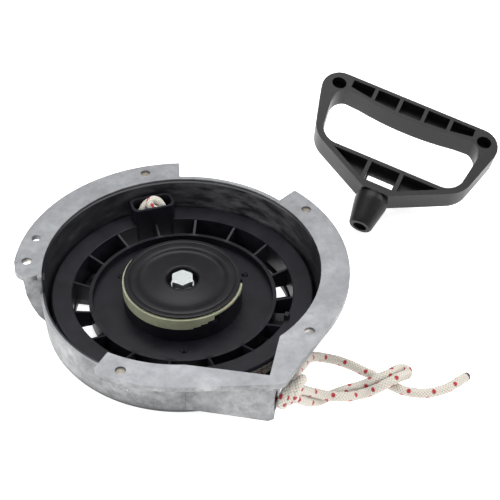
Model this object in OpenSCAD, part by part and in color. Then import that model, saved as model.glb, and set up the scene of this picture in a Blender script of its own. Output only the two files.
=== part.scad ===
// Recoil starter, lying on its back with the open engine side up.
// The origin is the centre of the bolt circle, on the flange's mounting face.
// +Z is the reel axis and points out of the housing, towards the engine.

/* [Housing] */
// Inner radius of the wall at the mounting face
rim_r = 95; // [93:0.5:97]
// Depth of the whole housing, from mounting face to back
housing_depth = 49; // [48:0.5:54]
// Thickness of the cast wall
wall_t = 3; // [2.5:0.1:3.5]
// Radius of the mounting flange's outer edge
flange_r = 114.5; // [113:0.5:118]
// Thickness of the mounting flange
flange_t = 4; // [3:0.5:5]
// Radius of the mounting bolt circle
bolt_circle_r = 106; // [105:0.5:107]
// Diameter of the mounting holes
bolt_hole_d = 7; // [6.4:0.1:7.4]
// Depth of the cut-down part of the rim below the mounting face
low_rim_drop = 14; // [10:1:16]

/* [Reel] */
// Outer radius of the reel's flanges
reel_r = 90.5; // [89.5:0.1:91]
// Radius of the floor of the rope groove
groove_r = 78; // [77.5:0.1:78.5]
// Number of radial ribs in the ring of pockets
rib_count = 16; // [12:1:20]
// Outer radius of the carrier block in the middle of the reel
carrier_r = 41.4; // [41:0.1:42]

/* [Rope] */
// Diameter of the braided rope
rope_d = 6; // [5.8:0.1:6]

/* [Pull handle] */
// Width of the handle across the grip bar
handle_w = 146; // [140:1:150]

/* [Hidden] */

$fn = 96;
cut = 0.5;                       // how far a cutting tool runs past a face
gap = 0.4;                       // clearance between pieces that move past each other
rope_r = rope_d / 2;

// Heights, measured from the mounting face
floor_z = -housing_depth;
back_t = 4;
inside_z = floor_z + back_t;
post_z = -36;
web_top_z = -33;
web_t = 2.5;
ring_top_z = -27.4;
flange_top_z = -22.6;
groove_top_z = -24.9;
groove_w = 2 * rope_d + gap;
groove_bottom_z = groove_top_z - groove_w;
reel_bottom_z = groove_bottom_z - 2.2;
carrier_z = -22.5;
pawl_top_z = -13.9;
plate_top_z = -12;
run_z = groove_top_z - gap - rope_r;
rope_floor_z = floor_z + rope_r;

// Housing outline
wall_r = rim_r + wall_t;
draft = 2.5;                     // how much the wall leans in towards the back
corner_r = 9;                    // rounding between wall and back
outlet_angle = -13;              // direction in which the rope leaves the reel
side_a = 43;                     // where the right lobe of the flange starts
hole_step = 72;
first_hole_a = -40.25;
extra_hole_a = 162.5;
extra_hole_d = 6.5;
left_lobe_end_a = 176.5;
lobe_end_r = 10;
channel_floor_z = -35;
box_floor_z = -38;
// Corners of the rope channel, where the rope runs from the reel to the outlet
channel = [[61.5, -72], [54, -101], [52.5, -106.5], [0, -rim_r], [20, -70]];
// Corners of the cast box around the rope channel
channel_box = [[65, -72], [57.2, -102], [55.8, -109], [52, -110.6], [0, -wall_r], [20, -70]];
vent_angles = [26, 105, 184, 263];
vent_half_a = 16;
vent_in_r = 61;
vent_out_r = 76;
pocket_in_r = 57.5;
pocket_out_r = 60;
post_r = 14;

// Reel
pocket_ring_in_r = 62.6;
pocket_ring_out_r = 65.2;
pocket_out_reel_r = 76.4;
rib_t = 1.6;
rib_first_a = -8.3;
collar_r = 9.95;
reel_bore_r = 10;
cup_a = 104.5;
cup_mid_r = 82.3;
cup_len = 31.6;
cup_depth = 16;
cup_wall = 1.8;
cup_top_z = -9;
cup_floor_z = -21;
snap_r = 50.5;
snap_angles = [28.4, 149.5, 269.7];
lug_a = -25;

// Centre stack
bolt_r = 4.95;
bolt_hole_r = 5;
hex_af = 14;
hex_top_z = -12.2;
washer_z = -18;
washer_t = 1.5;
wave_z = washer_z - washer_t;
ledge_z = -20.3;
plate_r = 40.2;
plate_hole_r = 11.2;
plate_hub_r = 24;

// Pawl
pawl_out_r = 41.4;
pawl_in_r = 33;
pawl_tail_a = 148;
pawl_step_a = 274;               // where the nose starts to get thinner
pawl_nose_a = 300;
pawl_end_a = 352;
pivot_a = 168;
pivot_r = 37;
pin_r = 2.5;
pin_hole_r = 2.55;

// Rope
first_layer_r = groove_r + rope_r + 0.1;
second_layer_r = first_layer_r + 5.5;
run_start = 35;
outlet_run = 76.5;
knot_out = 11;
rope_sides = 10;

// Route of the loop of rope that comes out of the stop knot and goes back in
bight_route = [
    [69, -100.5, -20.5], [74.5, -96.5, -25], [80, -93, -31], [85.5, -90, -36],
    [91.5, -89.5, -38.8], [98, -90, -39.8], [103, -89, -41.2], [108, -87, -43.4],
    [113, -84, -45.4], [118.5, -82.2, -45.9], [123, -81.5, -44.4], [128, -81.3, -41.4],
    [132, -80.1, -39.8], [136, -78.4, -39.3], [140, -75.6, -39.4], [144, -72.6, -40.8],
    [147.2, -70.2, -42.3], [149.2, -67.2, -43.2], [148.6, -64.4, -43.4], [145.5, -63.5, -43],
    [142, -65.4, -41.8], [139, -68.1, -40.6], [135.5, -71.2, -39.7], [131, -73.5, -39.5],
    [127, -74.7, -40.4], [122, -75.2, -43], [117, -75.2, -45.6], [111.5, -76.6, -46],
    [105.5, -78.6, -46], [99.5, -81, -46], [93.5, -84, -46], [88, -88.5, -44.4],
    [82.5, -92.5, -41], [77.5, -97, -35.5], [73, -100, -30], [69, -102.5, -26.5]];
// Route of the rope's end, from the stop knot to its melted tip
tail_route = [
    [68, -98, -16], [70.5, -91, -17], [73, -82.5, -21], [76.5, -74, -26], [79.5, -65.5, -30.5],
    [83.2, -58, -35.5], [89, -51.8, -41], [96.5, -49.8, -45], [104.5, -51.6, -46],
    [112, -56, -46], [119, -61, -46], [126, -66.5, -46], [132.5, -72, -46],
    [139, -77.5, -46], [146, -81.5, -46], [154, -83.5, -46], [162, -83.5, -46],
    [170, -81.5, -46], [178, -77.5, -46], [188.5, -70, -46]];

// Pull handle, held with its stem tip on the floor and its grip bar raised
handle_x = 135.2;
handle_y = 89;
handle_z = floor_z - 2.26;
handle_tilt = 27;
handle_turn = -27;
stem_tip_r = 8;
stem_root_r = 11.6;
pocket_web_t = 3;

function polar(r, a) = [r * cos(a), r * sin(a)];
function unit(v) = v / norm(v);

// Points of an arc about centre c
function arc(c, r, a0, a1, steps) =
    [for (i = [0 : steps]) c + polar(r, a0 + (a1 - a0) * i / steps)];

// A pie slice from angle a0 to a1, as a polygon
module sector(r, a0, a1) {
    steps = ceil(abs(a1 - a0) / 30);
    polygon(concat([[0, 0]], arc([0, 0], r / cos(15), a0, a1, steps)));
}

module ring(r_out, r_in, z0, z1) {
    translate([0, 0, z0])
        difference() {
            cylinder(r = r_out, h = z1 - z0);
            translate([0, 0, -cut]) cylinder(r = r_in, h = z1 - z0 + 2 * cut);
        }
}

// A flat ring between two angles, extruded from z0 to z1
module ring_sector(r_out, r_in, a0, a1, z0, z1) {
    translate([0, 0, z0])
        linear_extrude(z1 - z0)
            intersection() {
                difference() {
                    circle(r_out);
                    circle(r_in);
                }
                sector(r_out + 5, a0, a1);
            }
}

// Puts children at the outlet, with +X along the rope as it leaves
module along_outlet(t) {
    rotate([0, 0, outlet_angle])
        translate([t, -second_layer_r, run_z])
            children();
}

// ---------------------------------------------------------------- housing

module flange_outline() {
    difference() {
        union() {
            intersection() {
                circle(flange_r);
                sector(flange_r + 5, 90, left_lobe_end_a);
            }
            translate(polar(103.5, 179.2)) circle(lobe_end_r);
            intersection() {
                circle(flange_r);
                sector(flange_r + 5, -90, side_a);
            }
            intersection() {
                circle(flange_r);
                polygon([[0, 0], [-47, -81.5], [-53.5, -84], [-56.4, -87], [-57, -91.5],
                         [-56, -96.5], [-53.2, -100.8], [-49, -105], [-48, -flange_r], [0, -flange_r]]);
            }
            polygon(concat(
                [[0, -60], polar(flange_r, -31)],
                arc([57.5, -108.5], 6, -32, -90, 6),
                [[0, -flange_r]]));
        }
        circle(rim_r);
        polygon(channel);
    }
}

// The wall and back as one turned shell
module housing_shell() {
    low_r = wall_r - draft;
    bend_z = floor_z + corner_r;
    outer = concat([[wall_r, 0]],
        [for (p = arc([low_r - corner_r, bend_z], corner_r, 0, -90, 9)) p]);
    inner_r = low_r - wall_t;
    inner = concat(
        [for (p = arc([inner_r - 6, inside_z + 6], 6, -90, 0, 6)) p],
        [[rim_r, 0]]);
    rotate_extrude()
        polygon(concat(outer, [[0, floor_z], [0, inside_z]], inner));
}

module lobe_gusset() {
    rotate([0, 0, 182.5])
        translate([0, 3.5, 0])
            rotate([90, 0, 0])
                linear_extrude(7)
                    polygon([[93.5, -flange_t], [107.5, -flange_t], [106.5, -17], [104, -27],
                             [100, -37], [94.5, -44.5], [93.5, -44.5]]);
}

module hole_bosses() {
    for (a = [first_hole_a + hole_step, first_hole_a - hole_step, first_hole_a + 2 * hole_step])
        rotate([0, 0, a]) {
            translate([bolt_circle_r, 0, -12]) cylinder(r = 7, h = 10, $fn = 48);
            translate([wall_r - 2, -3, -20]) cube([8, 6, 18]);
        }
}

module starter_housing() {
    color("silver")
        difference() {
            union() {
                housing_shell();
                translate([0, 0, -flange_t]) linear_extrude(flange_t) flange_outline();
                difference() {
                    translate([0, 0, box_floor_z]) linear_extrude(-box_floor_z - 1) polygon(channel_box);
                    translate([0, 0, box_floor_z - 1]) cylinder(r = wall_r - draft / 2 - 1, h = 50);
                }
                difference() {
                    hole_bosses();
                    translate([0, 0, -30]) cylinder(r = rim_r + 0.5, h = 40);
                }
                lobe_gusset();
                ring(pocket_out_r, pocket_in_r, inside_z - cut, -38.5);
                translate([0, 0, inside_z - cut]) cylinder(r = post_r, h = post_z - inside_z + cut);
                for (a = [35 : 60 : 335])
                    rotate([0, 0, a])
                        translate([post_r - 1, -1.5, inside_z - cut]) cube([pocket_in_r - post_r, 3, 0.9]);
            }
            // rope channel, open at the top and through the round wall
            translate([0, 0, channel_floor_z]) linear_extrude(60) polygon(channel);
            // cut-down rim between the left lobe and the front lobe
            translate([0, 0, -low_rim_drop])
                linear_extrude(30)
                    difference() {
                        sector(130, 185.5, 239.4);
                        circle(80);
                    }
            // mounting holes
            for (i = [0 : 4])
                rotate([0, 0, first_hole_a + i * hole_step])
                    translate([bolt_circle_r, 0, -30]) cylinder(d = bolt_hole_d, h = 40, $fn = 48);
            rotate([0, 0, extra_hole_a])
                translate([bolt_circle_r - 0.2, 0, -30]) cylinder(d = extra_hole_d, h = 40, $fn = 48);
            // vents through the back
            for (a = vent_angles)
                ring_sector(vent_out_r, vent_in_r, a - vent_half_a, a + vent_half_a, floor_z - 1, inside_z + 1);
            // bore for the centre bolt
            translate([0, 0, -47]) cylinder(r = bolt_hole_r, h = 20);
            // seat of the spring's anchor pin
            rotate([0, 0, 20]) translate([54.5, 0, inside_z - 2]) cylinder(r = 2, h = 10, $fn = 32);
            // outlet hole for the rope guide
            along_outlet(outlet_run - 12)
                rotate([0, 90, 0]) cylinder(r = 5.5, h = 30, $fn = 64);
        }
}

module rope_guide_bushing() {
    color("dimgray")
        along_outlet(outlet_run - 4.2)
            rotate([0, 90, 0])
                rotate_extrude($fn = 64)
                    polygon([[3.4, 1.2], [4.4, 0], [5.4, 0], [5.4, 4.4], [7, 4.4], [7, 6], [6, 7], [4.6, 7], [3.4, 5.8]]);
}

module spring_anchor_pin() {
    color("lightsteelblue")
        rotate([0, 0, 20])
            translate([54.5, 0, inside_z - 2]) cylinder(r = 2, h = 9.5, $fn = 32);
}

// ---------------------------------------------------------------- spring

spring_turns = 9;
spring_in_r = 21;
spring_out_r = 51.5;
spring_t = 0.9;
spring_steps = 32;
spring_z = inside_z + 1;
spring_h = 5.8;

function spiral_r(t) = spring_in_r + (spring_out_r - spring_in_r) * t / spring_turns;

module recoil_spring() {
    n = spring_turns * spring_steps;
    outside = [for (i = [0 : n]) polar(spiral_r(i / spring_steps) + spring_t / 2, 20 + 360 * i / spring_steps)];
    inside = [for (i = [n : -1 : 0]) polar(spiral_r(i / spring_steps) - spring_t / 2, 20 + 360 * i / spring_steps)];
    color("slategray")
        translate([0, 0, spring_z])
            linear_extrude(spring_h)
                union() {
                    polygon(concat(outside, inside));
                    // hook behind the anchor pin
                    rotate(17.1) translate([spring_out_r - 0.4, -0.45]) square([5.5, 0.9]);
                }
}

// ---------------------------------------------------------------- centre stack

module reel_thrust_washer() {
    color("goldenrod") ring(13.5, 10.3, post_z, post_z + 0.9);
}

module step_collar() {
    color("lightgray") ring(collar_r, bolt_hole_r + 0.1, post_z, wave_z);
}

module friction_spring() {
    color("slategray") ring(10.9, collar_r + 0.15, wave_z - 0.7, wave_z - 0.05);
}

module flat_washer() {
    color("white") ring(10.6, bolt_hole_r + 0.1, wave_z, washer_z);
}

module centre_bolt() {
    color("white") {
        difference() {
            translate([0, 0, washer_z]) rotate([0, 0, 30])
                cylinder(r = hex_af / 2 / cos(30), h = hex_top_z - washer_z, $fn = 6);
            translate([0, 0, hex_top_z + 0.01]) mirror([0, 0, 1])
                difference() {
                    cylinder(r = 12, h = 1.4);
                    cylinder(r1 = hex_af / 2 - 0.2, r2 = hex_af / 2 + 2.2, h = 1.4 + cut);
                }
        }
        translate([0, 0, -46]) cylinder(r = bolt_r, h = washer_z + 46.2);
    }
}

// ---------------------------------------------------------------- reel

// One radial rib, sloping from the rope flange down to the inner ring
module reel_rib() {
    translate([0, rib_t / 2, 0])
        rotate([90, 0, 0])
            linear_extrude(rib_t)
                polygon([[pocket_ring_out_r - 1, ring_top_z], [pocket_out_reel_r + 1, flange_top_z - 0.6],
                         [pocket_out_reel_r + 1, reel_bottom_z + 0.5], [pocket_ring_out_r - 1, reel_bottom_z + 0.5]]);
}

module cup_block(grow, z0, z1) {
    rotate([0, 0, cup_a])
        translate([cup_mid_r, 0, z0])
            linear_extrude(z1 - z0)
                union() {
                    half = cup_len / 2 + grow - 5;
                    square([cup_depth + 2 * grow, 2 * half], center = true);
                    square([cup_depth + 2 * grow - 10, 2 * half + 10], center = true);
                    for (sx = [-1, 1], sy = [-1, 1])
                        translate([sx * (cup_depth / 2 + grow - 5), sy * half]) circle(5, $fn = 48);
                }
}

module reel_turned() {
    rotate_extrude()
        polygon([[reel_bore_r, -34.9], [reel_bore_r, carrier_z], [carrier_r, carrier_z],
                 [carrier_r, web_top_z], [pocket_ring_in_r, web_top_z], [pocket_ring_in_r, ring_top_z],
                 [pocket_ring_out_r, ring_top_z], [pocket_ring_out_r, reel_bottom_z],
                 [pocket_ring_in_r, reel_bottom_z], [pocket_ring_in_r, web_top_z - web_t],
                 [18, web_top_z - web_t], [18, -34.9]]);
    rotate_extrude()
        polygon([[pocket_out_reel_r, flange_top_z - 0.4], [pocket_out_reel_r + 0.6, flange_top_z],
                 [reel_r - 1, flange_top_z + 0.3], [reel_r, flange_top_z - 0.6],
                 [reel_r, groove_top_z + 0.3], [groove_r, groove_top_z],
                 [groove_r, groove_bottom_z], [reel_r, groove_bottom_z],
                 [reel_r, reel_bottom_z + 0.4], [reel_r - 0.4, reel_bottom_z],
                 [pocket_out_reel_r, reel_bottom_z]]);
}

module reel() {
    color([0.16, 0.16, 0.17])
        difference() {
            union() {
                reel_turned();
                for (i = [0 : rib_count - 1])
                    rotate([0, 0, rib_first_a + i * 360 / rib_count]) reel_rib();
                cup_block(0, groove_top_z + 0.3, cup_top_z);
                intersection() {
                    cup_block(0, groove_bottom_z, groove_top_z + 1);
                    cylinder(r = groove_r - 0.2, h = 200, center = true);
                }
                // raised walls of the carrier under the pawl's thin end and under its nose
                ring_sector(carrier_r, 36, 306, 356, carrier_z - 1, -18.1);
                ring_sector(carrier_r - 0.8, 34, 302, 348, carrier_z - 1, -19.2);
                for (i = [0 : 2])
                    ring_sector(carrier_r - 0.3 * i, 35, pawl_step_a + 5 + 7 * i, 303, carrier_z - 1, -21.6 + 1.1 * i);
                // rim behind the pawl's tail
                ring_sector(carrier_r, carrier_r - 2.6, 2, 142, carrier_z - 1, -17);
                // lug on the pocket ring
                rotate([0, 0, lug_a]) translate([75.4, -2, -26]) cube([3, 4, 7.4]);
                // spring hook of the hub
                rotate([0, 0, 20]) translate([17, -3, spring_z + 0.5]) cube([2.6, 6, 10]);
            }
            // inside of the rope cup
            cup_block(-cup_wall, cup_floor_z, 0);
            intersection() {
                cup_block(-cup_wall, groove_bottom_z + 2, -10);
                cylinder(r = groove_r - 1.8, h = 200, center = true);
            }
            // rope's way from the groove into the cup
            rotate([0, 0, cup_a - 6]) translate([76.4, 0, -31])
                rotate([0, 90, 0]) cylinder(d = rope_d + 1, h = 6, $fn = 32);
            // hole for the pawl pin and room for its spring
            rotate([0, 0, pivot_a]) translate([pivot_r, 0, -31]) cylinder(r = pin_r, h = 12, $fn = 48);
            rotate([0, 0, pivot_a]) translate([pivot_r, 0, carrier_z - 2.4]) cylinder(r = 4.3, h = 5, $fn = 48);
            // holes for the three snap pins
            for (a = snap_angles)
                rotate([0, 0, a]) translate([snap_r, 0, -40]) cylinder(r = 2, h = 12, $fn = 32);
        }
}

module spring_guide() {
    color("darkslategray")
        difference() {
            ring(56.5, 20.2, web_top_z - web_t - 1.3, web_top_z - web_t - 0.02);
            for (a = snap_angles)
                rotate([0, 0, a]) translate([snap_r, 0, -40]) cylinder(r = 2, h = 12, $fn = 32);
        }
}

// Split pins which hold the spring guide under the reel's web
module guide_snap_pins() {
    color([0.2, 0.2, 0.21])
        for (a = snap_angles)
            rotate([0, 0, a])
                translate([snap_r, 0, 0])
                    difference() {
                        union() {
                            translate([0, 0, -37.9]) cylinder(r = 3, h = 1.09, $fn = 32);
                            translate([0, 0, -37.9]) cylinder(r = 1.95, h = 37.9 + web_top_z, $fn = 32);
                            translate([0, 0, web_top_z]) cylinder(r1 = 2.5, r2 = 1.7, h = 1.3, $fn = 32);
                        }
                        translate([-4, -0.35, -35.5]) cube([8, 0.7, 10]);
                    }
}

// ---------------------------------------------------------------- pawl and its plate

// Underside of the pawl: full height up to the nose, then rising in steps
module pawl() {
    bottom = carrier_z + gap;
    color([0.86, 0.88, 0.74])
        difference() {
            union() {
                ring_sector(pawl_out_r, pawl_in_r, pawl_tail_a, pawl_step_a, bottom, pawl_top_z);
                for (i = [0 : 3])
                    ring_sector(pawl_out_r, pawl_in_r, pawl_step_a - 1, pawl_step_a + 5 + 7 * i,
                                bottom + 1.1 * i, pawl_top_z);
                // thin end that reaches on under the plate
                ring_sector(pawl_out_r, 37, pawl_nose_a - 6, pawl_end_a, -15.6, pawl_top_z);
                ring_sector(pawl_out_r, 37, pawl_end_a - 13, pawl_end_a, -17.6, pawl_top_z);
                rotate([0, 0, pivot_a]) translate([pivot_r, 0, bottom])
                    cylinder(r = 4.4, h = pawl_top_z - bottom, $fn = 48);
            }
            rotate([0, 0, pivot_a]) translate([pivot_r, 0, -30]) cylinder(r = pin_hole_r, h = 20, $fn = 48);
        }
}

module pawl_pin() {
    color("lightsteelblue")
        rotate([0, 0, pivot_a])
            translate([pivot_r, 0, -30.5]) cylinder(r = pin_r, h = 30.5 + pawl_top_z - 0.1, $fn = 48);
}

// Two coils of wire round the pin, in their recess under the pawl
module pawl_return_spring() {
    color("lightgray")
        rotate([0, 0, pivot_a])
            for (i = [0, 1])
                translate([pivot_r, 0, carrier_z - 1.85 + i * 0.95])
                    rotate_extrude($fn = 32)
                        translate([3.3, 0]) circle(0.45, $fn = 16);
}

module pawl_lock_plate() {
    color([0.22, 0.22, 0.24])
        rotate_extrude()
            polygon([[collar_r + 0.05, ledge_z], [collar_r + 0.05, carrier_z + 0.3], [plate_hub_r, carrier_z + 0.3],
                     [plate_hub_r, -16], [28, -15.6], [30.6, -13.6], [plate_r - 0.6, -13.6],
                     [plate_r, -13.2], [plate_r, plate_top_z - 0.4], [plate_r - 0.4, plate_top_z],
                     [37, plate_top_z], [36.85, plate_top_z - 0.35], [36.55, plate_top_z - 0.35],
                     [36.4, plate_top_z], [32.4, plate_top_z - 0.05], [31.4, plate_top_z - 0.4],
                     [30.4, plate_top_z - 1.2], [29.2, plate_top_z - 1.8], [27.6, plate_top_z - 2],
                     [24, plate_top_z - 1.7], [19, plate_top_z - 1.0], [15, plate_top_z - 0.5],
                     [12.6, plate_top_z - 0.3], [11.7, plate_top_z - 0.5], [plate_hole_r, plate_top_z - 1.1],
                     [plate_hole_r, ledge_z]]);
}

// ---------------------------------------------------------------- rope

module rope_winding() {
    color("whitesmoke")
        rotate_extrude()
            for (r = [first_layer_r, second_layer_r], row = [0, 1])
                translate([r, groove_top_z - 0.15 - rope_r - row * (rope_d + 0.1)]) circle(rope_r, $fn = 24);
}

module reel_rope_knot() {
    color("whitesmoke")
        rotate([0, 0, cup_a])
            translate([cup_mid_r, 0, 0]) {
                translate([0, -3, -12.4]) sphere(6, $fn = 32);
                translate([0, 4, -13.6]) sphere(6, $fn = 32);
            }
}

module rope_outlet_run() {
    color("whitesmoke")
        along_outlet(run_start)
            rotate([0, 90, 0]) cylinder(r = rope_r, h = outlet_run + 3.2 - run_start, $fn = 32);
}

module rope_stop_knot() {
    color("whitesmoke")
        along_outlet(outlet_run + knot_out)
            difference() {
                union() {
                    translate([0, 0.5, 1.5]) sphere(8, $fn = 32);
                    translate([2, 3.5, 6]) sphere(7.8, $fn = 32);
                    translate([2.5, -1, 4]) sphere(7.6, $fn = 32);
                }
                // flat side against the rope guide
                translate([-48.1, -20, -20]) cube([40, 40, 40]);
            }
}

// Frames of a swept tube: each ring stands square to the route
function tangent(route, i) =
    i == 0 ? unit(route[1] - route[0])
    : i == len(route) - 1 ? unit(route[i] - route[i - 1])
    : unit(route[i + 1] - route[i - 1]);

function ring_points(c, t, r, sides) =
    let (across = unit(cross(t, [0, 0, 1])), up = cross(across, t))
    [for (k = [0 : sides - 1])
        c + r * cos(360 * k / sides) * across + r * sin(360 * k / sides) * up];

module rope_tube(route, r, sides) {
    n = len(route);
    points = [for (i = [0 : n - 1]) each ring_points(route[i], tangent(route, i), r, sides)];
    skin = [for (i = [0 : n - 2], k = [0 : sides - 1])
        let (k2 = (k + 1) % sides)
        [i * sides + k, i * sides + k2, (i + 1) * sides + k2, (i + 1) * sides + k]];
    ends = [[for (k = [sides - 1 : -1 : 0]) k], [for (k = [0 : sides - 1]) (n - 1) * sides + k]];
    polyhedron(points, concat(skin, ends));
}

module rope_bight() {
    color("whitesmoke") rope_tube(bight_route, rope_r, rope_sides);
}

module rope_tail() {
    color("whitesmoke") rope_tube(tail_route, rope_r, rope_sides);
}

module rope_melted_tip() {
    last = tail_route[len(tail_route) - 1];
    ahead = unit(last - tail_route[len(tail_route) - 2]);
    color("black")
        translate(last)
            rotate([0, 0, atan2(ahead[1], ahead[0])])
                rotate([0, 90, 0])
                    rotate_extrude($fn = 24)
                        polygon([[0, 0], [2.8, 0], [2.9, 1], [2.3, 2.6], [1, 3.4], [0, 3.5]]);
}

// ---------------------------------------------------------------- pull handle

// The handle is drawn 128 wide with its stem tip at the origin and its grip bar
// along +Y, then scaled to handle_w
half_w = 64;
bar_y = 98;
handle_t = 20;
web_y = 45.5;                    // top edge of the web between stem and grip opening

// Depth of the grip bar at distance x from the middle: deepest in the middle
function bar_depth(x) = 15.2 - 4.6 * (x / 45) * (x / 45);

// A polygon and its mirror image joined along the Y axis; right runs from top to bottom
module mirrored_polygon(right) {
    left = [for (i = [len(right) - 1 : -1 : 0]) [-right[i][0], right[i][1]]];
    polygon(concat(right, left));
}

module handle_outline() {
    mirrored_polygon(concat(
        arc([half_w - 13, bar_y - 13], 13, 90, -14, 8),
        arc([half_w - 27, 61], 20, -22, -64, 6),
        [[9.5, 24]]));
}

module handle_opening() {
    mirrored_polygon(concat(
        [for (x = [4 : 8 : 36]) [x, bar_y - bar_depth(x)]],
        arc([half_w - 20.5, bar_y - 21.5], 10, 76, -12, 6),
        arc([half_w - 26, web_y + 13], 13, -18, -88, 6)));
}

// One pocket of the grip bar, between distances x0 and x1 from the middle
module bar_pocket(x0, x1) {
    polygon([[x0, bar_y - 2.4], [x1, bar_y - 2.4],
             [x1, bar_y - bar_depth(x1) + 2.4], [x0, bar_y - bar_depth(x0) + 2.4]]);
}

module handle_pockets() {
    for (i = [-2 : 2]) bar_pocket(i * 18.4 - 7.9, i * 18.4 + 7.9);
    // round pockets in the two corners
    for (s = [-1, 1])
        translate([s * (half_w - 10.7), bar_y - 9]) scale([1, 0.85]) circle(5, $fn = 48);
    // two triangular pockets of the lower web and the square one between them
    for (s = [-1, 1])
        polygon([[s * 13, 29.5], [s * 13, web_y - 2.6], [s * 38, web_y - 2.6]]);
    translate([-10.2, 29]) square([20.4, web_y - 2.6 - 29]);
}

module pull_handle() {
    mid = handle_t / 2;
    color([0.13, 0.13, 0.14])
        translate([handle_x, handle_y, handle_z])
            rotate([handle_tilt, 0, 0])
            rotate([0, 0, handle_turn])
            scale(handle_w / (2 * half_w))
                difference() {
                    union() {
                        linear_extrude(handle_t)
                            difference() {
                                handle_outline();
                                handle_opening();
                            }
                        translate([0, 0, mid])
                            rotate([-90, 0, 0])
                                rotate_extrude($fn = 64)
                                    polygon([[0, 0], [stem_tip_r - 0.8, 0], [stem_tip_r, 1],
                                             [stem_root_r - 0.3, 19], [stem_root_r - 0.9, 23],
                                             [stem_root_r - 3, 27], [stem_root_r - 5, 29], [0, 29]]);
                    }
                    for (z = [-1, mid + pocket_web_t / 2])
                        translate([0, 0, z]) linear_extrude(mid - pocket_web_t / 2 + 1) handle_pockets();
                    // rope bore and the slot for its knot
                    translate([0, -1, mid]) rotate([-90, 0, 0]) cylinder(r = 4.6, h = 33, $fn = 48);
                    translate([-9.2, 29, -1]) cube([18.4, 9, handle_t + 2]);
                }
}

starter_housing();
rope_guide_bushing();
spring_anchor_pin();
recoil_spring();
reel_thrust_washer();
step_collar();
reel();
spring_guide();
guide_snap_pins();
rope_winding();
reel_rope_knot();
rope_outlet_run();
pawl();
pawl_pin();
pawl_return_spring();
pawl_lock_plate();
friction_spring();
flat_washer();
centre_bolt();
rope_stop_knot();
rope_bight();
rope_tail();
rope_melted_tip();
pull_handle();
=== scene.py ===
import math

import bmesh
import bpy
import numpy as np
from mathutils import Matrix, Vector


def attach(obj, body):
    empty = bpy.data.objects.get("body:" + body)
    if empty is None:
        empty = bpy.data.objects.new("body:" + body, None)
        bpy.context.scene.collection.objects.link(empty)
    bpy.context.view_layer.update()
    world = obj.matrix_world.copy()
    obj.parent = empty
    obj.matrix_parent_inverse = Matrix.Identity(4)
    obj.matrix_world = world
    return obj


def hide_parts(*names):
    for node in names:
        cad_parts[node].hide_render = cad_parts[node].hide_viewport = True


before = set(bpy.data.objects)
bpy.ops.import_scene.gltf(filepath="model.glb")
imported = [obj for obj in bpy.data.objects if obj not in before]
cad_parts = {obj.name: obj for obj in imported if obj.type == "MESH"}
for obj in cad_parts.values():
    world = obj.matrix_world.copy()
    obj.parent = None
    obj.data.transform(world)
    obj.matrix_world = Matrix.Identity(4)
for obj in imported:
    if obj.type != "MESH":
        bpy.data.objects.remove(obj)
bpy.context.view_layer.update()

MM = 0.001
FLOOR_Z = -49 * MM

# the five flange holes, in metres and radians
HOLE_CIRCLE_R = 106 * MM
HOLE_START = math.radians(-40.25)
HOLE_STEP = math.radians(72)

# the rope, in mm
OUTLET_ANGLE = math.radians(-13)
WINDING_R = 86.6
RUN_Z = -28.3
ROPE_R = 3.35        # to the crowns of the braid
WOUND_R = 2.95       # the rope where it is hidden or packed tight
ROPE_RELIEF = 0.46   # from a crown to the deepest valley
BRAID_YARNS = 8
BRAID_PITCH = 16.0
FLECK_YARNS = 4      # the coarser lattice on which the tracer stitches lie
END_TAPER = 1.2      # how far the rope narrows to its cut ends

# ------------------------------------------------------------------ camera

CAMERA_PLACE = (0, -0.65308, 0.57639)

camera_data = bpy.data.cameras.new("camera")
camera_data.sensor_width = 36
camera_data.lens = 91.886
camera_data.clip_start = 0.01
camera_data.clip_end = 10
camera = bpy.data.objects.new("camera", camera_data)
right = (0.99818519, -0.05856668, 0.01400944)
up = (0.02770076, 0.65313462, 0.75673498)
back = (-0.05346951, -0.75497358, 0.65357165)
turn = Matrix((right, up, back)).transposed().to_4x4()
camera.matrix_world = Matrix.Translation(CAMERA_PLACE) @ turn
bpy.context.scene.collection.objects.link(camera)
bpy.context.scene.camera = camera

# ------------------------------------------------------------------ node helpers


def socket_colour(colour):
    """The four numbers of a colour socket."""
    return (*colour, 1)


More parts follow.
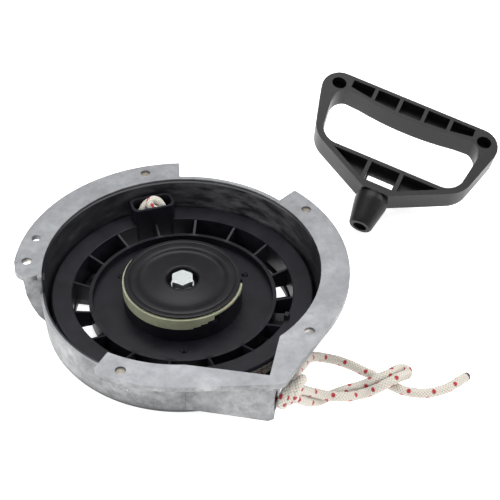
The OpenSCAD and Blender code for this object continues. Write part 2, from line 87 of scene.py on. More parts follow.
class Nodes:
    """A short way to write a node material."""

    def __init__(self, name):
        self.mat = bpy.data.materials.new(name)
        self.mat.use_nodes = True
        self.tree = self.mat.node_tree
        self.shader = self.tree.nodes["Principled BSDF"]
        self.coords = self.tree.nodes.new("ShaderNodeTexCoord")

    def new(self, kind):
        return self.tree.nodes.new(kind)

    def link(self, a, b):
        self.tree.links.new(a, b)

    def fill(self, socket, value):
        """Set a socket to a colour or a number, or link it to another node."""
        if isinstance(value, tuple):
            socket.default_value = socket_colour(value)
        elif isinstance(value, (int, float)):
            socket.default_value = value
        else:
            self.link(value, socket)

    def noise(self, scale, detail, rough, vector=None):
        node = self.new("ShaderNodeTexNoise")
        node.inputs["Scale"].default_value = scale
        node.inputs["Detail"].default_value = detail
        node.inputs["Roughness"].default_value = rough
        self.link(vector or self.coords.outputs["Object"], node.inputs["Vector"])
        return node.outputs["Fac"]

    def ramp(self, fac, *stops):
        node = self.new("ShaderNodeValToRGB")
        ramp = node.color_ramp
        while len(ramp.elements) < len(stops):
            ramp.elements.new(0.5)
        for element, (place, colour) in zip(ramp.elements, stops):
            element.position = place
            element.color = socket_colour(colour)
        self.link(fac, node.inputs["Fac"])
        return node.outputs["Color"]

    def math(self, operation, a, b=0.0, c=0.0):
        node = self.new("ShaderNodeMath")
        node.operation = operation
        for socket, value in zip(node.inputs, (a, b, c)):
            self.fill(socket, value)
        return node.outputs[0]

    def mix(self, fac, a, b, blend="MIX"):
        node = self.new("ShaderNodeMix")
        node.data_type = "RGBA"
        node.blend_type = blend
        # a Mix node has one factor, A, B and result for each data type: these are the colour ones
        for place_in_list, value in ((0, fac), (6, a), (7, b)):
            self.fill(node.inputs[place_in_list], value)
        return node.outputs[2]

    def bump(self, height, strength, distance):
        node = self.new("ShaderNodeBump")
        node.inputs["Strength"].default_value = strength
        node.inputs["Distance"].default_value = distance
        self.link(height, node.inputs["Height"])
        return node.outputs["Normal"]

    def set(self, **sockets):
        names = {"colour": "Base Color", "rough": "Roughness", "metal": "Metallic",
                 "normal": "Normal", "spec": "Specular IOR Level", "sheen": "Sheen Weight",
                 "sub": "Subsurface Weight", "sub_scale": "Subsurface Scale"}
        for key, value in sockets.items():
            self.fill(self.shader.inputs[names[key]], value)
        return self.mat


def step(n, value, low, high):
    """0 below low and 1 above high, with a straight ramp between them."""
    span = n.new("ShaderNodeMapRange")
    span.inputs["From Min"].default_value = low
    span.inputs["From Max"].default_value = high
    n.link(value, span.inputs["Value"])
    return span.outputs[0]


def below(n, value, low, high):
    """1 below low and 0 above high."""
    return n.math("SUBTRACT", 1.0, step(n, value, low, high))


def facing_up(n, low, high):
    """1 where the surface faces up."""
    geometry = n.new("ShaderNodeNewGeometry")
    split = n.new("ShaderNodeSeparateXYZ")
    n.link(geometry.outputs["Normal"], split.inputs[0])
    return step(n, split.outputs["Z"], low, high)


def place(n):
    """The x, y and z of the shaded point, and its distance from the axis."""
    split = n.new("ShaderNodeSeparateXYZ")
    n.link(n.coords.outputs["Object"], split.inputs[0])
    x, y, z = split.outputs
    radius = n.math("SQRT", n.math("ADD", n.math("MULTIPLY", x, x), n.math("MULTIPLY", y, y)))
    return x, y, z, radius


# ------------------------------------------------------------------ materials


def bolt_hole_mask(n, radius, angle, z):
    """1 on the walls of the five flange holes."""
    turned = n.math("SUBTRACT", angle, HOLE_START - HOLE_STEP / 2)
    fold = n.math("SUBTRACT", n.math("FLOORED_MODULO", turned, HOLE_STEP), HOLE_STEP / 2)
    # the cosine rule gives the distance from the nearest hole's axis
    chord = n.math("MULTIPLY", n.math("COSINE", fold), 2 * HOLE_CIRCLE_R)
    reach = n.math("SUBTRACT", chord, radius)
    squared = n.math("SUBTRACT", HOLE_CIRCLE_R ** 2, n.math("MULTIPLY", radius, reach))
    gap = n.math("SQRT", squared)
    return n.math("MULTIPLY", below(n, gap, 0.0037, 0.0040), below(n, z, -0.0009, -0.0004))


def inner_wall_colour_and_sheen(n, x, y, z, angle):
    """Dark, with a painted sheen of grey smears along the far wall and a painted highlight as a
    lighter band under its edge.
    """
    unrolled = n.new("ShaderNodeCombineXYZ")
    n.link(n.math("MULTIPLY", angle, 2.2), unrolled.inputs[0])
    n.link(n.math("MULTIPLY", z, 75.0), unrolled.inputs[1])
    smoke = n.noise(2.0, 5, 0.62, unrolled.outputs[0])
    dark = n.ramp(smoke,
                  (0.35, (0.010, 0.010, 0.0135)),
                  (0.60, (0.022, 0.022, 0.027)),
                  (0.75, (0.05, 0.05, 0.057)))
    far_side = step(n, y, 0.02, 0.075)
    # painted sheen: grey smears on the right part of the far wall, where light would be reflected
    painted_sheen = n.math("MULTIPLY", far_side, step(n, x, -0.06, 0.05))
    painted_sheen = n.math("MULTIPLY", painted_sheen, step(n, smoke, 0.40, 0.68))
    dark = n.mix(painted_sheen, dark, (0.115, 0.115, 0.125))
    # painted highlight: a lighter band 1.6 to 3.6 mm under the far rim, standing in for the lit
    # edge of a ledge
    painted_lip_highlight = n.math("MULTIPLY", step(n, z, -0.0036, -0.0031), below(n, z, -0.0020, -0.0016))
    painted_lip_highlight = n.math("MULTIPLY", painted_lip_highlight, n.math("MULTIPLY", far_side, 0.8))
    return n.mix(painted_lip_highlight, dark, (0.21, 0.21, 0.22))


def cast_aluminium():
    n = Nodes("cast_aluminium")
    x, y, z, radius = place(n)
    # large cloudy patches, small mottling and fine casting grain
    cloud = n.noise(34, 7, 0.66)
    mottle = n.noise(150, 6, 0.7)
    grain = n.noise(900, 3, 0.6)
    base = n.ramp(cloud,
                  (0.34, (0.15, 0.153, 0.158)),
                  (0.50, (0.235, 0.24, 0.245)),
                  (0.66, (0.36, 0.365, 0.37)))
    spots = n.ramp(mottle, (0.38, (0.55, 0.55, 0.55)), (0.5, (1, 1, 1)), (0.66, (1.3, 1.3, 1.3)))
    colour = n.mix(0.55, base, spots, "MULTIPLY")
    # every up-facing face, the mounting face among them, is brighter and bluer than the walls:
    # painted light from above
    brighter = n.mix(1.0, colour, (1.13, 1.14, 1.17), "MULTIPLY")
    face = n.mix(0.55, brighter, (0.285, 0.292, 0.306))
    colour = n.mix(facing_up(n, 0.6, 0.95), colour, face)

    # inside the rim the walls get a dark, less metallic colour, with painted sheen and a painted
    # highlight on the far wall
    inside = n.math("MULTIPLY", below(n, radius, 0.0951, 0.0956), below(n, z, -0.0012, -0.0004))
    angle = n.math("ARCTAN2", y, x)
    colour = n.mix(inside, colour, inner_wall_colour_and_sheen(n, x, y, z, angle))
    # the holes are dark at their top edge, and lower down they have a painted highlight of bright
    # metal
    hole_painted_highlight = n.mix(step(n, z, -0.0032, -0.0012), (0.70, 0.67, 0.62), (0.10, 0.10, 0.105))
    colour = n.mix(bolt_hole_mask(n, radius, angle, z), colour, hole_painted_highlight)

    rough = n.math("ADD", 0.36, n.math("MULTIPLY", mottle, 0.25))
    metal = n.math("SUBTRACT", 0.6, n.math("MULTIPLY", inside, 0.5))
    height = n.math("ADD", n.math("MULTIPLY", grain, 0.35), n.math("MULTIPLY", mottle, 0.65))
    return n.set(colour=colour, rough=rough, metal=metal, normal=n.bump(height, 0.35, 0.0006),
                 spec=0.4)


def scaled(colour, factor):
    return tuple(c * factor for c in colour)


def moulded_black(name, colour, rough, grain):
    n = Nodes(name)
    fine = n.noise(1400, 2, 0.5)
    wear = n.noise(60, 5, 0.6)
    shade = n.ramp(wear, (0.35, scaled(colour, 0.8)), (0.7, scaled(colour, 1.5)))
    r = n.math("ADD", rough - 0.06, n.math("MULTIPLY", wear, 0.14))
    return n.set(colour=shade, rough=r, metal=0.0, normal=n.bump(fine, grain, 0.0002), spec=0.2)


def lock_plate_black():
    n = Nodes("lock_plate_black")
    *_, radius = place(n)
    # turning marks: rings which get lighter and darker across the plate
    stretch = n.new("ShaderNodeCombineXYZ")
    n.link(n.math("MULTIPLY", radius, 900.0), stretch.inputs[0])
    rings = n.noise(1.0, 3, 0.6, stretch.outputs[0])
    cloud = n.noise(45, 4, 0.6)
    blend = n.math("ADD", n.math("MULTIPLY", rings, 0.35), n.math("MULTIPLY", cloud, 0.65))
    shade = n.ramp(blend, (0.35, (0.0055, 0.0052, 0.0068)), (0.65, (0.0115, 0.0110, 0.0135)))
    rough = n.math("ADD", 0.27, n.math("MULTIPLY", cloud, 0.16))
    return n.set(colour=shade, rough=rough, metal=0.0, normal=n.bump(rings, 0.12, 0.0002),
                 spec=0.17)


def steel(name, colour, rough, metal=1.0):
    n = Nodes(name)
    brush = n.noise(500, 4, 0.6)
    shade = n.ramp(brush, (0.3, scaled(colour, 0.85)), (0.7, colour))
    r = n.math("ADD", rough, n.math("MULTIPLY", brush, 0.12))
    return n.set(colour=shade, rough=r, metal=metal, normal=n.bump(brush, 0.08, 0.0002))


def nylon():
    n = Nodes("pawl_nylon")
    cloud = n.noise(90, 4, 0.55)
    shade = n.ramp(cloud, (0.3, (0.27, 0.28, 0.185)), (0.7, (0.38, 0.39, 0.28)))
    return n.set(colour=shade, rough=0.38, metal=0.0, sub=0.15, sub_scale=0.003,
                 normal=n.bump(cloud, 0.1, 0.0003), spec=0.5)


def rope_material():
    n = Nodes("braided_rope")
    fleck = n.new("ShaderNodeAttribute")
    fleck.attribute_name = "fleck"
    valley = n.new("ShaderNodeAttribute")
    valley.attribute_name = "valley"
    fibre = n.noise(1500, 3, 0.6)
    white = n.ramp(fibre, (0.3, (0.52, 0.49, 0.43)), (0.7, (0.72, 0.69, 0.63)))
    # painted shade: the braid's valleys are darkened as though shade falls in them
    groove = n.mix(valley.outputs["Fac"], white, (0.26, 0.22, 0.17))
    dyed = n.mix(fibre, (0.26, 0.004, 0.012), (0.40, 0.012, 0.026))
    colour = n.mix(fleck.outputs["Fac"], groove, dyed)
    return n.set(colour=colour, rough=0.62, metal=0.0, sheen=0.25, sub=0.12, sub_scale=0.002,
                 normal=n.bump(fibre, 0.25, 0.0003), spec=0.35)


def melted():
    n = Nodes("melted_tip")
    lump = n.noise(900, 3, 0.6)
    shade = n.ramp(lump, (0.3, (0.006, 0.005, 0.005)), (0.75, (0.035, 0.028, 0.022)))
    return n.set(colour=shade, rough=0.4, metal=0.0, normal=n.bump(lump, 0.5, 0.0006))


ALUMINIUM = cast_aluminium()
REEL_BLACK = moulded_black("reel_plastic", (0.0075, 0.0073, 0.0108), 0.36, 0.1)
HANDLE_BLACK = moulded_black("handle_plastic", (0.006, 0.006, 0.0065), 0.36, 0.3)
GUIDE_BLACK = moulded_black("guide_plastic", (0.006, 0.006, 0.006), 0.45, 0.15)
PLATE_BLACK = lock_plate_black()
ZINC = steel("zinc_plate", (0.78, 0.83, 0.82), 0.24, 0.93)
STEEL = steel("plain_steel", (0.56, 0.56, 0.57), 0.3)
# the flat washer's near-black colour is painted shade: it lies deep in the lock plate's hole
WASHER_PAINTED_SHADE = steel("washer_painted_shade", (0.012, 0.012, 0.013), 0.5)
BLUED = steel("spring_steel", (0.16, 0.17, 0.2), 0.32)
BRASS = steel("washer_brass", (0.72, 0.55, 0.27), 0.3)
NYLON = nylon()
ROPE = rope_material()
MELTED = melted()

# ------------------------------------------------------------------ mesh helpers

WELD = 2e-6                        # CAD vertices closer than this are one
BEVEL_ANGLE = math.radians(28)     # edges sharper than this are rounded
TURNED_EDGE = 30                   # degrees; sharper edges of turned pieces stay crisp


def add_object(name, mesh, material, body, *nodes, slot=None):
    piece = bpy.data.objects.new(name, mesh)
    bpy.context.scene.collection.objects.link(piece)
    mesh.materials.clear()
    mesh.materials.append(material)
    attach(piece, body)
    if nodes:
        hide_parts(*nodes)
    return piece


def apply_modifiers(piece):
    graph = bpy.context.evaluated_depsgraph_get()
    mesh = bpy.data.meshes.new_from_object(piece.evaluated_get(graph))
    old = piece.data
    piece.modifiers.clear()
    piece.data = mesh
    bpy.data.meshes.remove(old)
    return piece


def outward_mesh(name, verts, faces, is_smooth=lambda face: True):
    """A mesh from plain lists, with its faces turned outwards."""
    mesh = bpy.data.meshes.new(name)
    mesh.from_pydata(verts, [], faces)
    bm = bmesh.new()
    bm.from_mesh(mesh)
    bmesh.ops.recalc_face_normals(bm, faces=bm.faces)
    for face in bm.faces:
        face.smooth = is_smooth(face)
    bm.to_mesh(mesh)
    bm.free()
    return mesh


def smooth(piece, angle):
    """Smooth shading, with edges sharper than the angle kept crisp."""
    bm = bmesh.new()
    bm.from_mesh(piece.data)
    limit = math.radians(angle)
    for face in bm.faces:
        face.smooth = True
    for edge in bm.edges:
        edge.smooth = len(edge.link_faces) == 2 and edge.calc_face_angle(0) < limit
    bm.to_mesh(piece.data)
    bm.free()


def rounded_copy(node, name, material, body, width, slot, segments=2):
    """A copy of a CAD node's shape with its sharp edges rounded off; width in metres."""
    bm = bmesh.new()
    bm.from_mesh(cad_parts[node].data)
    bmesh.ops.remove_doubles(bm, verts=bm.verts, dist=WELD)
    bmesh.ops.dissolve_degenerate(bm, edges=bm.edges, dist=WELD)
    for face in bm.faces:
        face.smooth = True
    mesh = bpy.data.meshes.new(name)
    bm.to_mesh(mesh)
    bm.free()
    piece = add_object(name, mesh, material, body, node, slot=slot)
    bevel = piece.modifiers.new("bevel", "BEVEL")
    bevel.width = width
    bevel.segments = segments
    bevel.limit_method = "ANGLE"
    bevel.angle_limit = BEVEL_ANGLE
    bevel.use_clamp_overlap = True
    bevel.miter_outer = "MITER_ARC"
    weighted = piece.modifiers.new("weighted", "WEIGHTED_NORMAL")
    weighted.weight = 80
    weighted.keep_sharp = False
    bpy.context.view_layer.update()
    return apply_modifiers(piece)


def lathe(name, profile, material, body, *nodes, steps=192, slot=None):
    """A turned piece: profile is a closed list of (radius, z) in mm."""
    verts, faces = [], []
    count = len(profile)
    for i in range(steps):
        a = 2 * math.pi * i / steps
        for r, z in profile:
            verts.append((r * math.cos(a) * MM, r * math.sin(a) * MM, z * MM))
    for i in range(steps):
        j = (i + 1) % steps
        for k in range(count):
            m = (k + 1) % count
            faces.append((i * count + k, j * count + k, j * count + m, i * count + m))
    mesh = outward_mesh(name, verts, faces)
    piece = add_object(name, mesh, material, body, *nodes, slot=slot)
    smooth(piece, TURNED_EDGE)
    return piece


# ------------------------------------------------------------------ rope


def spline(points, spacing):
    """A smooth line through the points, cut into equal steps; all in mm."""
    cuts = 24
    p = np.array(points, float)
    p = np.vstack([2 * p[0] - p[1], p, 2 * p[-1] - p[-2]])
    out = []
    for i in range(1, len(p) - 2):
        a, b, c, d = p[i - 1], p[i], p[i + 1], p[i + 2]
        for t in np.linspace(0, 1, cuts, endpoint=False):
            out.append(0.5 * (2 * b + (c - a) * t + (2 * a - 5 * b + 4 * c - d) * t * t
                              + (3 * b - a - 3 * c + d) * t ** 3))
    out.append(p[-2])
    out = np.array(out)
    length = np.concatenate([[0], np.cumsum(np.linalg.norm(np.diff(out, axis=0), axis=1))])
    s = np.linspace(0, length[-1], max(2, int(length[-1] / spacing) + 1))
    return np.stack([np.interp(s, length, out[:, k]) for k in range(3)], axis=1), s


def lattice(theta, s, yarns):
    """How many yarns have been crossed along each of the braid's two hands."""
    return (yarns * (theta / (2 * np.pi) + s / BRAID_PITCH),
            yarns * (theta / (2 * np.pi) - s / BRAID_PITCH))


def braid(theta, s):
    """Height of the braid's surface, 0 in a valley and 1 on a crown."""
    u, v = lattice(theta, s, BRAID_YARNS)
    across = np.abs(np.sin(np.pi * u) * np.sin(np.pi * v))
    over = (np.floor(u) + np.floor(v)) % 2
    lean = np.where(over > 0.5, np.abs(np.sin(np.pi * u)), np.abs(np.sin(np.pi * v)))
    return 0.55 * across ** 0.5 + 0.45 * across ** 0.35 * lean


def flecks(theta, s):
    """1 on the red tracer stitches, which follow helices of one hand round the rope."""
    u, v = lattice(theta, s, FLECK_YARNS)
    iu, iv = np.floor(u), np.floor(v)
    core = np.clip((0.52 - np.hypot(u - iu - 0.5, v - iv - 0.5)) * 12, 0, 1)
    every_second = (iv % FLECK_YARNS == 0) | (iv % FLECK_YARNS == FLECK_YARNS // 2)
    return np.where((iu % FLECK_YARNS == 0) & every_second, core, 0.0)


def rope_mesh(name, points, spacing=0.34, sides=60, radius=ROPE_R, closed=False, phase=0.0):
    """A braided rope along the points, in mm, and the line it follows."""
    line, s = spline(points, spacing)
    if closed:
        line, s = line[:-1], s[:-1]
        tangents = np.roll(line, -1, axis=0) - np.roll(line, 1, axis=0)
    else:
        tangents = np.gradient(line, axis=0)
    tangents /= np.linalg.norm(tangents, axis=1)[:, None]
    # carry a side direction along the line without twist
    side = np.cross(tangents[0], [0, 0, 1.0])
    theta = np.linspace(0, 2 * np.pi, sides, endpoint=False)
    rings, fleck, valley = [], [], []
    for centre, ahead, along in zip(line, tangents, s):
        side = side - ahead * np.dot(side, ahead)
        side /= np.linalg.norm(side)
        other = np.cross(ahead, side)
        crown = braid(theta + phase, along)
        r = radius - ROPE_RELIEF * (1 - crown)
        end = min(along, s[-1] - along)
        if not closed and end < END_TAPER:
            r = r * (0.72 + 0.28 * math.sqrt(max(0.0, end / END_TAPER)))
        round_it = np.cos(theta)[:, None] * side + np.sin(theta)[:, None] * other
        rings.append(centre + r[:, None] * round_it)
        fleck.append(flecks(theta + phase, along))
        # valley: how strongly painted shade darkens the rope's colour here
        valley.append(np.clip((0.6 - crown) * 2.2, 0, 1) * 0.85)
    verts = np.concatenate(rings) * MM
    verts[:, 2] = np.maximum(verts[:, 2], FLOOR_Z)

    index = np.arange(len(line) * sides).reshape(len(line), sides)
    turned = np.roll(index, -1, axis=1)
    corners = [index, turned, np.roll(turned, -1, axis=0), np.roll(index, -1, axis=0)]
    if not closed:
        corners = [corner[:-1] for corner in corners]
    quads = np.stack(corners, axis=-1).reshape(-1, 4)
    faces = [tuple(int(v) for v in q) for q in quads]
    if not closed:
        faces.append(tuple(int(v) for v in index[0][::-1]))
        faces.append(tuple(int(v) for v in index[-1]))
    mesh = outward_mesh(name, [tuple(v) for v in verts], faces, lambda face: len(face.verts) == 4)
    for label, values in (("fleck", fleck), ("valley", valley)):
        layer = mesh.attributes.new(label, "FLOAT", "POINT")
        layer.data.foreach_set("value", np.concatenate(values).astype(np.float32))
    return mesh, line


# the rope's two visible strands, in mm
BIGHT = [
    (69, -100.5, -20.5), (74.5, -96.5, -25), (80, -93, -31), (85.5, -90, -36),
    (91.5, -89.5, -38.8), (98, -90, -39.8), (103, -89, -41.2), (108, -87, -43.4),
    (113, -84, -45.4), (118.5, -82.2, -45.9), (123, -81.5, -44.4), (128, -81.3, -41.4),
    (132, -80.1, -39.8), (136, -78.4, -39.3), (140, -75.6, -39.4), (144, -72.6, -40.8),
    (147.2, -70.2, -42.3), (149.2, -67.2, -43.2), (148.6, -64.4, -43.4), (145.5, -63.5, -43),
    (142, -65.4, -41.8), (139, -68.1, -40.6), (135.5, -71.2, -39.7), (131, -73.5, -39.5),
    (127, -74.7, -40.4), (122, -75.2, -43), (117, -75.2, -45.6), (111.5, -76.6, -46),
    (105.5, -78.6, -46), (99.5, -81, -46), (93.5, -84, -46), (88, -88.5, -44.4),
    (82.5, -92.5, -41), (77.5, -97, -35.5), (73, -100, -30), (69, -102.5, -26.5)]
TAIL = [
    (68, -98, -16), (70.5, -91, -17), (73, -82.5, -21), (76.5, -74, -26), (79.5, -65.5, -30.5),
    (83.2, -58, -35.5), (89, -51.8, -41), (96.5, -49.8, -45), (104.5, -51.6, -46),
    (112, -56, -46), (119, -61, -46), (126, -66.5, -46), (132.5, -72, -46),
    (139, -77.5, -46), (146, -81.5, -46), (154, -83.5, -46), (162, -83.5, -46),
    (170, -81.5, -46), (178, -77.5, -46), (188.5, -70, -46)]


def outlet(t, high=0.0):
    """A point along the rope's way out of the housing, in mm."""
    c, s = math.cos(OUTLET_ANGLE), math.sin(OUTLET_ANGLE)
    x, y = t, -WINDING_R
    return (c * x - s * y, s * x + c * y, RUN_Z + high)


def stop_knot_coil():
    """Leaning wraps, each a little higher and farther out than the last."""
    centre = np.array([68.2, -100.4, -22.2])
    shift = np.array([0.87, 0.30, 0.39])
    lean = np.array([0.366, 0.597, 0.714])
    near = np.array([-0.36, -0.61, 0.706])
    turns, steps, half_width = 2.5, 14, 5.8
    coil = [outlet(76), outlet(78.5)]
    for i in range(int(turns * steps) + 1):
        a = -0.5 * math.pi + 2 * math.pi * i / steps
        s = -half_width + 2 * half_width * i / (turns * steps)
        wrap = lean * 5.6 * math.sin(a) + near * 5.2 * math.cos(a)
        coil.append(tuple(centre + shift * s + wrap))
    return coil


def build_ropes():
    knot_mesh, _ = rope_mesh("stop_knot", stop_knot_coil(), 0.4, 52, 3.3, phase=0.7)
    knot = add_object("rope_stop_knot_braided", knot_mesh, ROPE, "housing", "rope_stop_knot",
                      slot="rope")

    bight_mesh, line = rope_mesh("bight", BIGHT)
    bight = add_object("rope_bight_braided", bight_mesh, ROPE, "housing", "rope_bight", slot="rope")
    path = line[::8] * MM
    tuple(path[0])
    [tuple(p) for p in path]

    tail_mesh, line = rope_mesh("tail", TAIL, phase=1.1)
    tail = add_object("rope_tail_braided", tail_mesh, ROPE, "housing", "rope_tail", slot="rope")
    tip = melted_tip(np.array(TAIL[-1]), np.array(TAIL[-1]) - np.array(TAIL[-2]))
    path = line[::8] * MM
    tuple(path[0])
    [tuple(p) for p in path]


def melted_tip(end, ahead):
    """The lump of melted nylon that closes the rope's free end."""
    ahead = ahead / np.linalg.norm(ahead)
    across = np.cross(ahead, [0, 0, 1.0])
    across /= np.linalg.norm(across)
    high = np.cross(across, ahead)
    profile = [(0.0, 2.4), (0.0, 2.85), (0.8, 2.9), (1.6, 2.7), (2.4, 2.1), (3.0, 1.2), (3.3, 0.5)]
    sides, overlap, widest = 32, 0.6, 2.95
    verts, faces = [], []
    for along, r in profile:
        for k in range(sides):
            a = 2 * math.pi * k / sides
            lump = 1 + 0.05 * math.sin(3 * a + along * 2) + 0.03 * math.sin(7 * a)
            outwards = math.cos(a) * across + math.sin(a) * high
            p = end + ahead * (along - overlap) + min(r * lump, widest) * outwards
            verts.append(tuple(p * MM))
    for i in range(len(profile) - 1):
        for k in range(sides):
            m = (k + 1) % sides
            faces.append((i * sides + k, i * sides + m, (i + 1) * sides + m, (i + 1) * sides + k))
    faces.append(tuple(range(sides))[::-1])
    faces.append(tuple((len(profile) - 1) * sides + k for k in range(sides)))
    mesh = outward_mesh("melted_tip", verts, faces)
    return add_object("rope_melted_tip_lump", mesh, MELTED, "housing", "rope_melted_tip",
                      slot="melted_tip")


build_ropes()


def build_wound_rope():
    """Two layers of two rows on the reel, and the run from them to the outlet."""
    rows = [(81.1, -28.1), (81.1, -34.2), (86.6, -28.1), (86.6, -34.2)]
    for i, (r, z) in enumerate(rows):
        ring = [(r * math.cos(a), r * math.sin(a), z) for a in np.linspace(0, 2 * math.pi, 73)]
        mesh, _ = rope_mesh(f"wound_{i}", ring, 0.8, 24, WOUND_R, closed=True, phase=i * 0.9)
        add_object(f"wound_rope_{i + 1}", mesh, ROPE, "reel", slot="rope")
    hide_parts("rope_winding")

    run = [outlet(30, 0.1), outlet(45), outlet(62), outlet(79.4)]
    mesh, _ = rope_mesh("outlet_run", run, 0.4, 40, WOUND_R, phase=0.3)
    add_object("rope_outlet_run_braided", mesh, ROPE, "housing", "rope_outlet_run", slot="rope")


build_wound_rope()


def build_reel_knot():
    """The knot in the reel's cup: a tight overhand knot with a short end."""
    cup_angle, cup_r = math.radians(104.5), 82.3
    out = np.array([math.cos(cup_angle), math.sin(cup_angle), 0.0])
    along = np.array([-math.sin(cup_angle), math.cos(cup_angle), 0.0])
    centre = out * cup_r
    high = np.array([0, 0, 1.0])

    def at(s, o, z):
        """A point s along the groove, o outwards and z up."""
        return tuple(centre + along * s + out * o + high * z)

    points = [at(9, 0, -18), at(7.5, 0.8, -15.5), at(4.5, 2.6, -12.5), at(0.5, 3.0, -10.4),
              at(-3.5, 1.8, -10.2), at(-6, -0.5, -12), at(-5, -2.6, -14.2), at(-1.4, -3, -13.5),
              at(1.5, -2.4, -11), at(1.6, 0.2, -8.9), at(-1.2, 1.6, -8.2), at(-4.6, 0.4, -9.4),
              at(-7.2, -1.6, -13.4), at(-8.4, -2.4, -17.6)]
    mesh, _ = rope_mesh("cup_knot", points, 0.4, 40, 3.0, phase=2.0)
    add_object("reel_rope_knot_braided", mesh, ROPE, "reel", "reel_rope_knot", slot="rope")


build_reel_knot()

# ------------------------------------------------------------------ housing, reel and handle

rounded_copy("starter_housing", "cast_housing", ALUMINIUM, "housing", 0.0007, "cast_aluminium")
rounded_copy("reel", "moulded_reel", REEL_BLACK, "reel", 0.0003, "reel_plastic")
rounded_copy("pull_handle", "moulded_handle", HANDLE_BLACK, "handle", 0.0011, "handle_plastic",
             segments=3)
rounded_copy("pawl", "nylon_pawl", NYLON, "pawl", 0.0002, "pawl_nylon")

# outside, from the underside of the hub to the rim; then the rim's groove and the dish back to
# the recess round the bolt
LOCK_PLATE_PROFILE = [
    (10.0, -20.3), (10.0, -22.2), (24, -22.2), (24, -16), (28, -15.6), (30.6, -13.6),
    (39.5, -13.6), (40.0, -13.35), (40.2, -13.0), (40.2, -12.5), (40.05, -12.15), (39.7, -12),
    (37.15, -12), (36.95, -12.1), (36.8, -12.4), (36.6, -12.4), (36.45, -12.1), (36.25, -12),
    (32.8, -12.03), (32.0, -12.15), (31.2, -12.45), (30.5, -12.95), (30.0, -13.35),
    (29.4, -13.65), (28.6, -13.85), (27.6, -13.95), (26, -13.92), (24, -13.7), (21.5, -13.35),
    (19, -12.98), (17, -12.72), (15, -12.5), (13.6, -12.32), (12.6, -12.28), (12.0, -12.4),
    (11.5, -12.7), (11.2, -13.1), (11.2, -20.3)]
WASHER_PROFILE = [
    (5.1, -19.4), (5.1, -18.1), (5.25, -18), (10.35, -18), (10.55, -18.1), (10.6, -18.3),
    (10.6, -19.3), (10.4, -19.45), (5.3, -19.45)]

lathe("turned_lock_plate", LOCK_PLATE_PROFILE, PLATE_BLACK, "lock_plate", "pawl_lock_plate",
      slot="lock_plate_black")
# the zinc flat washer is drawn near-black: painted shade
lathe("turned_flat_washer", WASHER_PROFILE, WASHER_PAINTED_SHADE, "housing", "flat_washer",
      slot="zinc_plate")


def build_bolt():
    """The hexagon head with its chamfered top, its washer face and the shank."""
    bm = bmesh.new()
    flat = 7.0
    corner = flat / math.cos(math.pi / 6)
    sides = 48

    def hexagon(limit, z):
        """A ring of the hexagon, cut to a circle of the limit's radius."""
        ring = []
        for i in range(sides):
            a = 2 * math.pi * i / sides
            near = (a + math.pi / 6) % (math.pi / 3) - math.pi / 6
            r = min(flat / math.cos(near), limit)
            ring.append(bm.verts.new((r * math.cos(a) * MM, r * math.sin(a) * MM, z * MM)))
        return ring

    levels = [hexagon(corner, -17.7), hexagon(corner, -12.45), hexagon(7.85, -12.3),
              hexagon(7.6, -12.2)]
    for low, high in zip(levels, levels[1:]):
        for i in range(sides):
            j = (i + 1) % sides
            bm.faces.new((low[i], low[j], high[j], high[i]))
    bm.faces.new(levels[-1])
    bm.faces.new(levels[0][::-1])
    mesh = bpy.data.meshes.new("bolt_head")
    bm.to_mesh(mesh)
    bm.free()
    head = add_object("hexagon_bolt_head", mesh, ZINC, "housing", "centre_bolt",
                      slot="zinc_plate")
    smooth(head, 20)
    washer_face = [(0.01, -18.0), (7.9, -18.0), (8.0, -17.9), (8.0, -17.7), (7.9, -17.6),
                   (0.01, -17.6)]
    shank = [(0.01, -18.0), (4.95, -18.0), (4.95, -45.4), (4.4, -46), (0.01, -46)]
    lathe("bolt_washer_face", washer_face, ZINC, "housing", steps=96, slot="zinc_plate")
    lathe("bolt_shank", shank, ZINC, "housing", steps=64, slot="zinc_plate")


build_bolt()

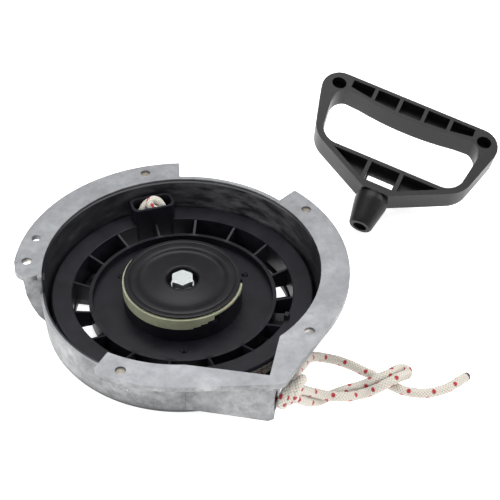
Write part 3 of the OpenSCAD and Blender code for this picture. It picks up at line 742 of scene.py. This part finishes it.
# the rest keep their CAD shapes
for node, material in (
        ("rope_guide_bushing", GUIDE_BLACK), ("spring_anchor_pin", STEEL),
        ("recoil_spring", BLUED), ("reel_thrust_washer", BRASS),
        ("step_collar", STEEL), ("spring_guide", GUIDE_BLACK),
        ("guide_snap_pins", REEL_BLACK), ("pawl_pin", STEEL),
        ("pawl_return_spring", STEEL), ("friction_spring", STEEL)):
    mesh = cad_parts[node].data
    mesh.materials.clear()
    mesh.materials.append(material)

# ------------------------------------------------------------------ floor and light


def floor_material():
    n = Nodes("pale_floor")
    n.shader.inputs["Emission Color"].default_value = (1, 1, 1, 1)
    n.shader.inputs["Emission Strength"].default_value = 0.75
    return n.set(colour=(0.9, 0.9, 0.9), rough=0.9, spec=0.1)


HALF_FLOOR = 6.0
FLOOR_TOP = FLOOR_Z - 0.0004       # just clear of the housing's back
mesh = bpy.data.meshes.new("floor")
mesh.from_pydata([(-HALF_FLOOR, -HALF_FLOOR, FLOOR_TOP), (HALF_FLOOR, -HALF_FLOOR, FLOOR_TOP),
                  (HALF_FLOOR, HALF_FLOOR, FLOOR_TOP), (-HALF_FLOOR, HALF_FLOOR, FLOOR_TOP)],
                 [], [(0, 1, 2, 3)])
floor = bpy.data.objects.new("floor", mesh)
bpy.context.scene.collection.objects.link(floor)
floor.data.materials.append(floor_material())


def area_light(name, position, size, power):
    """A rectangular lamp which faces the middle of the part."""
    data = bpy.data.lights.new(name, "AREA")
    data.shape = "RECTANGLE"
    data.size, data.size_y = size
    data.energy = power
    light = bpy.data.objects.new(name, data)
    bpy.context.scene.collection.objects.link(light)
    light.location = position
    light.rotation_euler = (-Vector(position)).to_track_quat("-Z", "Y").to_euler()


area_light("overhead", (0.1, 0.35, 1.3), (1.2, 0.9), 17)
area_light("left", (-1.2, -0.2, 0.6), (0.5, 1.0), 7)
area_light("right", (1.2, 0.1, 0.6), (0.5, 1.0), 7)
area_light("front", (0, -1.1, 0.45), (1.2, 0.4), 3.5)

bpy.context.scene.view_settings.view_transform = "Standard"
bpy.context.scene.view_settings.look = "None"
world = bpy.data.worlds.new("studio")
bpy.context.scene.world = world
world.use_nodes = True
world.node_tree.nodes["Background"].inputs["Color"].default_value = (1, 1, 1, 1)
world.node_tree.nodes["Background"].inputs["Strength"].default_value = 0.45
